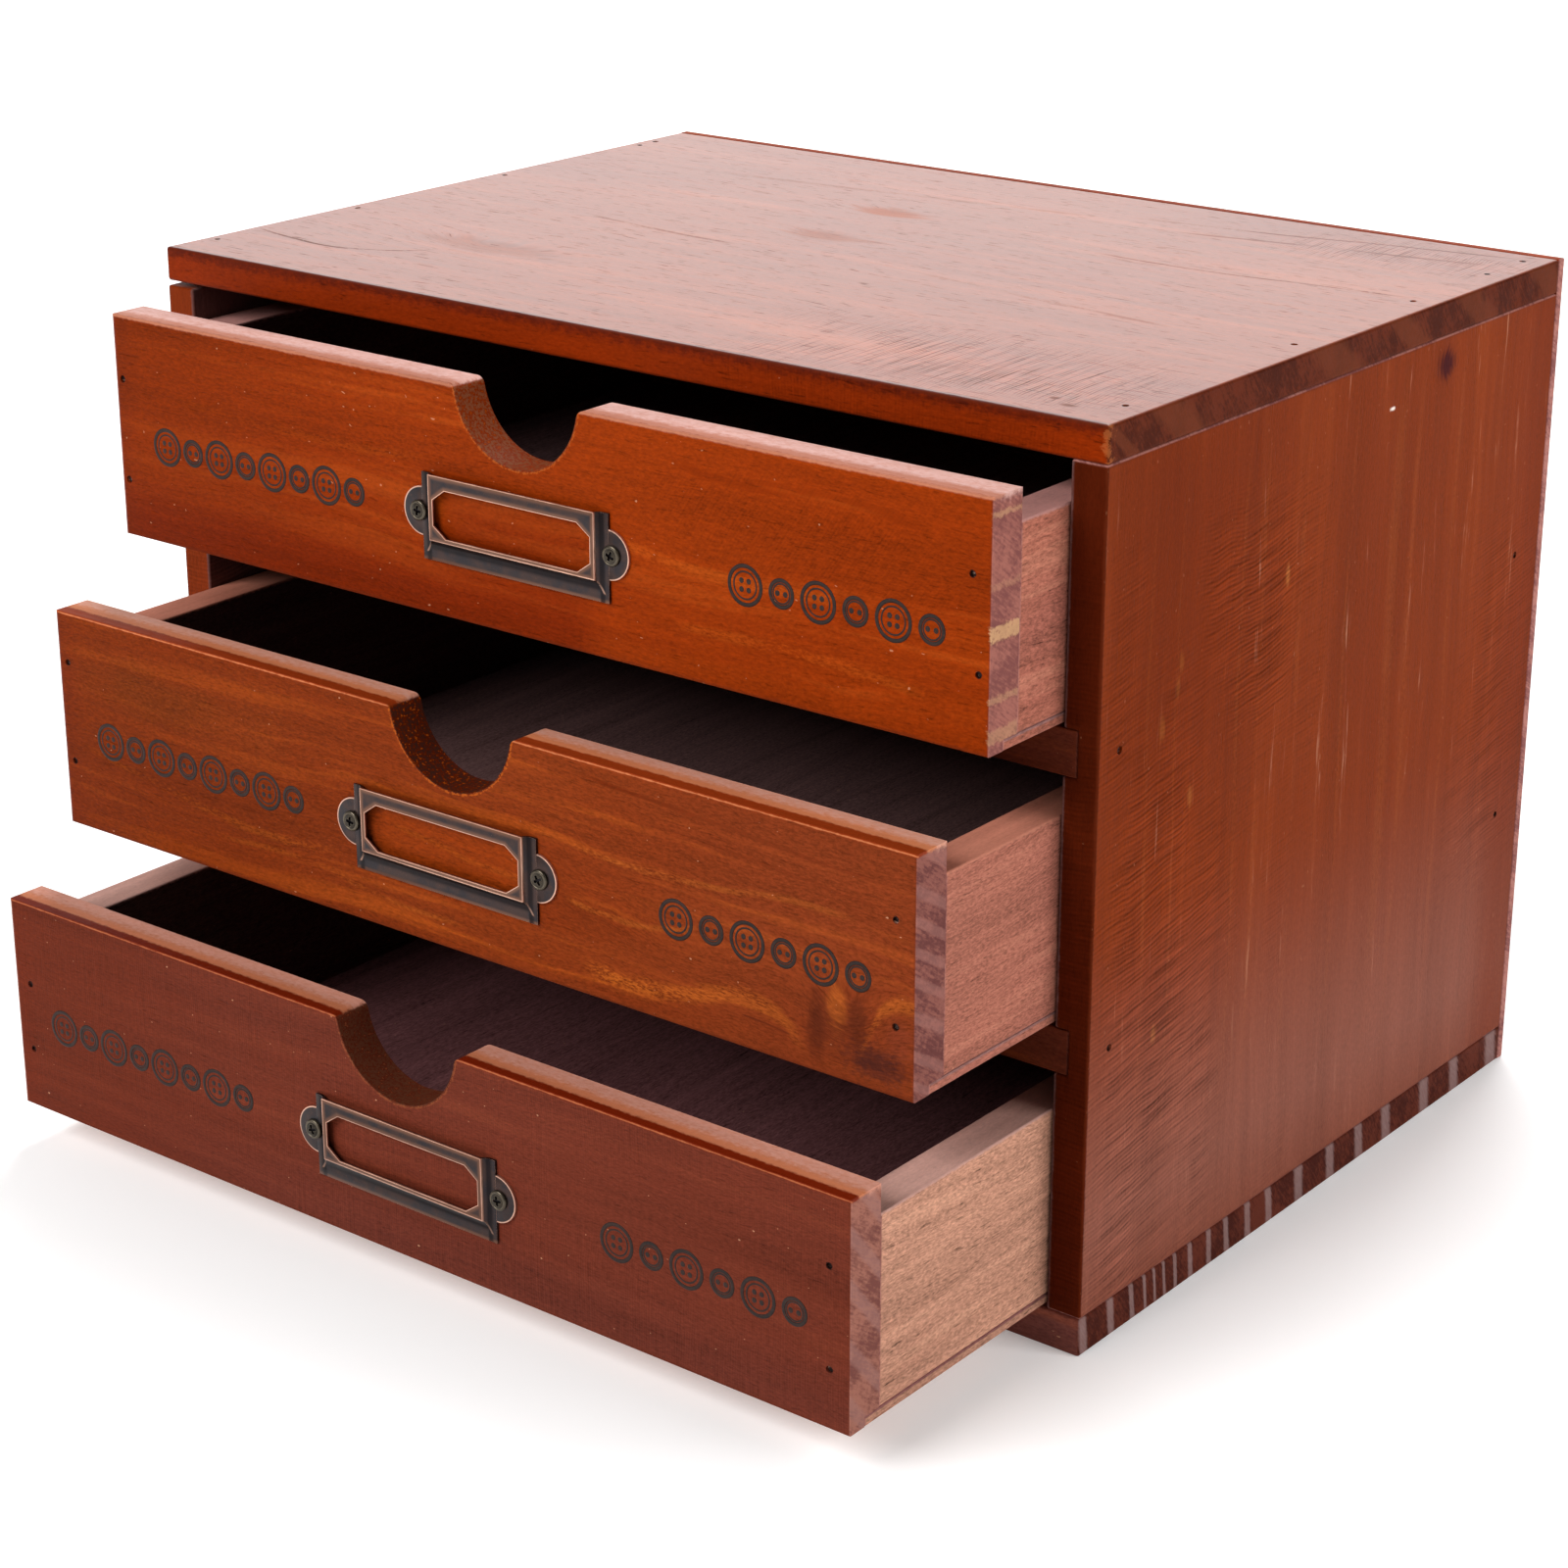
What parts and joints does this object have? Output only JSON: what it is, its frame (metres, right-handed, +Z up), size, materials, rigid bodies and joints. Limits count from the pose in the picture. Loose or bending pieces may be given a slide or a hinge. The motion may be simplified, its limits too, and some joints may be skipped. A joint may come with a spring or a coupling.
{
  "type": "desktop drawer cabinet",
  "caption": "Small wooden desktop cabinet with stacked sliding drawers for buttons and sewing things, each with a finger notch and a metal label holder.",
  "frame": {"origin": "centre of the bottom board's underside, on the surface the cabinet stands on", "axes": "+X to the right seen from the front, +Y from the drawers' fronts to the back panel, +Z up"},
  "size_m": [0.25, 0.2478, 0.1925],
  "materials": {
    "case_wood": "satin red-brown stain and varnish",
    "back_panel_wood": "thin stained panel",
    "top_drawer_front_wood": "satin orange-brown stain and varnish",
    "middle_drawer_front_wood": "satin orange-brown stain and varnish",
    "bottom_drawer_front_wood": "satin red-brown stain and varnish",
    "drawer_side_wood": "sanded and thinly stained",
    "drawer_bottom_wood": "thin dark panel",
    "aged_brass": "antique bronze plating, rubbed at the edges",
    "dark_screw": "bronze plated",
    "nail_steel": "dull"
  },
  "bodies": {
    "cabinet": {"back_panel": "back_panel_wood", "back_panel_nails": "nail_steel", "bottom_board": "case_wood", "bottom_board_nails": "nail_steel", "left_side_board": "case_wood", "lower_divider": "case_wood", "right_side_board": "case_wood", "side_board_nails": "nail_steel", "top_board": "case_wood", "top_board_nails": "nail_steel", "upper_divider": "case_wood"},
    "top_drawer": {"top_drawer_back": "drawer_side_wood", "top_drawer_back_nails": "nail_steel", "top_drawer_bottom_nails": "nail_steel", "top_drawer_bottom_panel": "drawer_bottom_wood", "top_drawer_front": "top_drawer_front_wood", "top_drawer_front_nails": "nail_steel", "top_drawer_label_holder": "aged_brass", "top_drawer_label_screws": "dark_screw", "top_drawer_left_side": "drawer_side_wood", "top_drawer_right_side": "drawer_side_wood"},
    "middle_drawer": {"middle_drawer_back": "drawer_side_wood", "middle_drawer_back_nails": "nail_steel", "middle_drawer_bottom_nails": "nail_steel", "middle_drawer_bottom_panel": "drawer_bottom_wood", "middle_drawer_front": "middle_drawer_front_wood", "middle_drawer_front_nails": "nail_steel", "middle_drawer_label_holder": "aged_brass", "middle_drawer_label_screws": "dark_screw", "middle_drawer_left_side": "drawer_side_wood", "middle_drawer_right_side": "drawer_side_wood"},
    "bottom_drawer": {"bottom_drawer_back": "drawer_side_wood", "bottom_drawer_back_nails": "nail_steel", "bottom_drawer_bottom_nails": "nail_steel", "bottom_drawer_bottom_panel": "drawer_bottom_wood", "bottom_drawer_front": "bottom_drawer_front_wood", "bottom_drawer_front_nails": "nail_steel", "bottom_drawer_label_holder": "aged_brass", "bottom_drawer_label_screws": "dark_screw", "bottom_drawer_left_side": "drawer_side_wood", "bottom_drawer_right_side": "drawer_side_wood"}
  },
  "joints": [
    {"name": "top_drawer_slide", "type": "slide", "parent": "cabinet", "child": "top_drawer", "axis": [0, -1, 0], "range_m": [-0.0239, 0.0961]},
    {"name": "middle_drawer_slide", "type": "slide", "parent": "cabinet", "child": "middle_drawer", "axis": [0, -1, 0], "range_m": [-0.0456, 0.0744]},
    {"name": "bottom_drawer_slide", "type": "slide", "parent": "cabinet", "child": "bottom_drawer", "axis": [0, -1, 0], "range_m": [-0.0646, 0.0554]}
  ]
}
